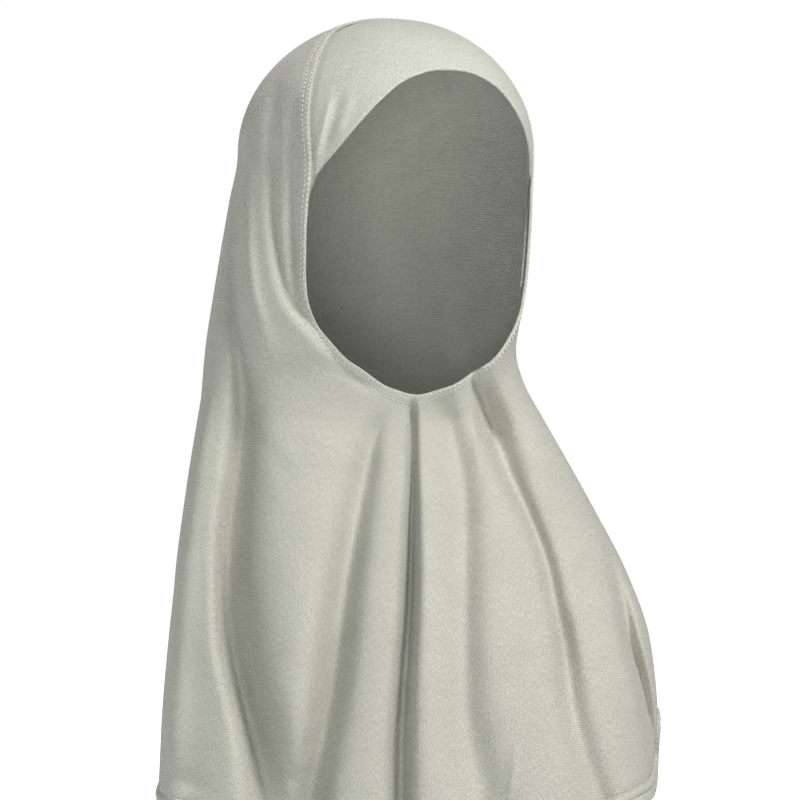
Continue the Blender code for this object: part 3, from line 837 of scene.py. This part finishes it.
def build_bottom_hem(jersey):
    """Turned edge at the bottom of the cape."""
    share, inner, outer = cape_lines(CAPE_COLUMNS)
    profile = {name: WALL * table_column(BOTTOM_PROFILE, EDGE_PROFILE_COLUMNS, name)[::-1]
               for name in EDGE_PROFILE_COLUMNS}
    grid = rows_at(outer, inner, profile["from_edge"])
    hem = wall_piece("bottom_hem_cloth", grid, profile["outer"], profile["inner"], closed=True)
    return dress(hem, jersey, "bottom_hem", "bottom_hem")


def ahead_of_seam(grid):
    """How far places on the flat pattern lie ahead of the hood's edge, in metres."""
    seam = face_edge(np.linspace(-1.4, 1.4, 561) * TEMPLE_SHARE % 1.0)
    way = np.gradient(seam, axis=0)
    way /= np.linalg.norm(way, axis=-1, keepdims=True)
    place = grid.reshape(-1, 2)
    nearest = ((place[:, None] - seam[None]) ** 2).sum(-1).argmin(1)
    front = np.stack([-way[:, 1], way[:, 0]], -1)[nearest]
    return ((place - seam[nearest]) * front).sum(-1).reshape(grid.shape[:2])


def build_forehead_band(jersey):
    """Stretched panel over the forehead, which comes out close under the hood's edge."""
    grid = band_grid(BAND_COLUMNS, BAND_ROWS)
    profile = {name: WALL * table_column(BROW_PROFILE, EDGE_PROFILE_COLUMNS, name)
               for name in EDGE_PROFILE_COLUMNS}
    ahead = ahead_of_seam(grid)
    level = -(WALL + BAND_GAP)
    level = level + (BAND_UNDER_HEM - level) * ramp(ahead, -0.0090, -0.0010)
    level = level + (BAND_IN_SIGHT - BAND_UNDER_HEM) * ramp(ahead, 0.0004, 0.0060)
    rest = np.zeros(BAND_ROWS + 1)
    outer_lift = level + np.concatenate([profile["outer"], rest])[:, None]
    inner_lift = level + np.concatenate([profile["inner"], rest - WALL])[:, None]
    band = wall_piece("forehead_band_cloth", grid, outer_lift, inner_lift, closed=False)
    return dress(band, jersey, "forehead_band", "forehead_band")


def build_stitches(thread):
    """The stitch rows of both turned edges."""
    share, inner, outer = cape_lines(4 * CAPE_COLUMNS)
    rows = []
    for number, distance in enumerate(FACE_STITCH_ROWS):
        item = stitch_row(f"face_stitches_{number + 1}", inner, outer, distance, 0.06 * WALL)
        rows.append(dress(item, thread, "face_hem"))
    for number, distance in enumerate(HEM_STITCH_ROWS):
        item = stitch_row(f"hem_stitches_{number + 1}", outer, inner, distance, 0.02 * WALL)
        rows.append(dress(item, thread, "bottom_hem"))
    return rows


def area_light(name, azimuth, height, distance, size, power, colour=(1, 1, 1)):
    """A square soft light that looks at the middle of the object from an azimuth."""
    data = bpy.data.lights.new(name, "AREA")
    data.shape = "SQUARE"
    data.size = size
    data.energy = power
    data.color = colour
    lamp = bpy.data.objects.new(name, data)
    turn = math.radians(azimuth)
    lamp.location = (distance * math.sin(turn), -distance * math.cos(turn), height)
    aim = np.array([0, 0, -0.22]) - np.array(lamp.location)
    lamp.rotation_euler = (math.atan2(math.hypot(aim[0], aim[1]), -aim[2]), 0,
                           math.atan2(aim[1], aim[0]) - math.pi / 2)
    bpy.context.scene.collection.objects.link(lamp)


def bright_to_camera(tree, socket, light, look):
    """Drives a strength socket: one value as a light, another as seen by the camera."""
    path = add_node(tree, "ShaderNodeLightPath", (-600, 0))
    strength = add_node(tree, "ShaderNodeMapRange", (-300, 0))
    strength.inputs["To Min"].default_value = light
    strength.inputs["To Max"].default_value = look
    tree.links.new(path.outputs["Is Camera Ray"], strength.inputs["Value"])
    tree.links.new(strength.outputs["Result"], socket)


def build_stage():
    """Plain pale floor, white surroundings, soft lights and the photo's camera."""
    scene = bpy.context.scene
    scene.view_settings.view_transform = "Standard"
    reach = 30.0
    level = -0.60
    floor = mesh_object("floor", np.array([(-reach, -reach, level), (reach, -reach, level),
                                           (reach, reach, level), (-reach, reach, level)]),
                        np.array([[0, 1, 2, 3]]))
    pale = bpy.data.materials.new("pale_floor")
    pale.use_nodes = True
    shader = pale.node_tree.nodes["Principled BSDF"]
    shader.inputs["Base Color"].default_value = (0.86, 0.86, 0.86, 1)
    shader.inputs["Roughness"].default_value = 0.9
    shader.inputs["Emission Color"].default_value = (1, 1, 1, 1)
    bright_to_camera(pale.node_tree, shader.inputs["Emission Strength"], 0.02, 0.97)
    floor.data.materials.append(pale)

    world = bpy.data.worlds.new("surroundings")
    scene.world = world
    world.use_nodes = True
    tree = world.node_tree
    back = tree.nodes["Background"]
    back.inputs["Color"].default_value = (1.0, 1.0, 1.0, 1)
    bright_to_camera(tree, back.inputs["Strength"], 0.05, 1.0)

    area_light("key", PHOTO_AZIMUTH + 40, 1.50, 1.5, 0.7, 50.0, (1.0, 0.99, 0.97))
    area_light("front", PHOTO_AZIMUTH - 4, -0.40, 1.9, 0.6, 14.0, (0.98, 0.99, 1.0))
    area_light("side", PHOTO_AZIMUTH - 106, -0.25, 2.2, 1.4, 18.0)
    area_light("back_fill", PHOTO_AZIMUTH + 185, 1.3, 2.6, 2.0, 20.0)

    camera_data = bpy.data.cameras.new("camera")
    camera_data.sensor_width = 36.0
    camera_data.lens = camera_data.sensor_width * CAMERA_DISTANCE / (2 * PHOTO_CENTRE * PIXEL)
    camera = bpy.data.objects.new("camera", camera_data)
    right, away = view_axes()
    level = right * (PHOTO_CENTRE - PHOTO_AXIS_X) * PIXEL - away * CAMERA_DISTANCE
    camera.location = (level[0], level[1], CROWN_TOP - (PHOTO_CENTRE - PHOTO_CROWN_Y) * PIXEL)
    camera.rotation_euler = (math.pi / 2, 0, math.radians(PHOTO_AZIMUTH))
    scene.collection.objects.link(camera)
    scene.camera = camera


def main():
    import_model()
    jersey = jersey_material("heather_jersey", (0.415, 0.42, 0.362), (0.60, 0.605, 0.535), 0.00016)
    turned = jersey_material("heather_jersey_turned", (0.44, 0.445, 0.388), (0.63, 0.635, 0.565), 0.00014)
    stretched = jersey_material("heather_jersey_stretched", (0.46, 0.47, 0.415), (0.65, 0.66, 0.59), 0.00011)
    thread = thread_material()

    cape = build_cape(jersey)
    face_hem = build_face_hem(turned)
    bottom_hem = build_bottom_hem(jersey)
    band = build_forehead_band(stretched)
    stitches = build_stitches(thread)

    build_stage()

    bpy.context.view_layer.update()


main()
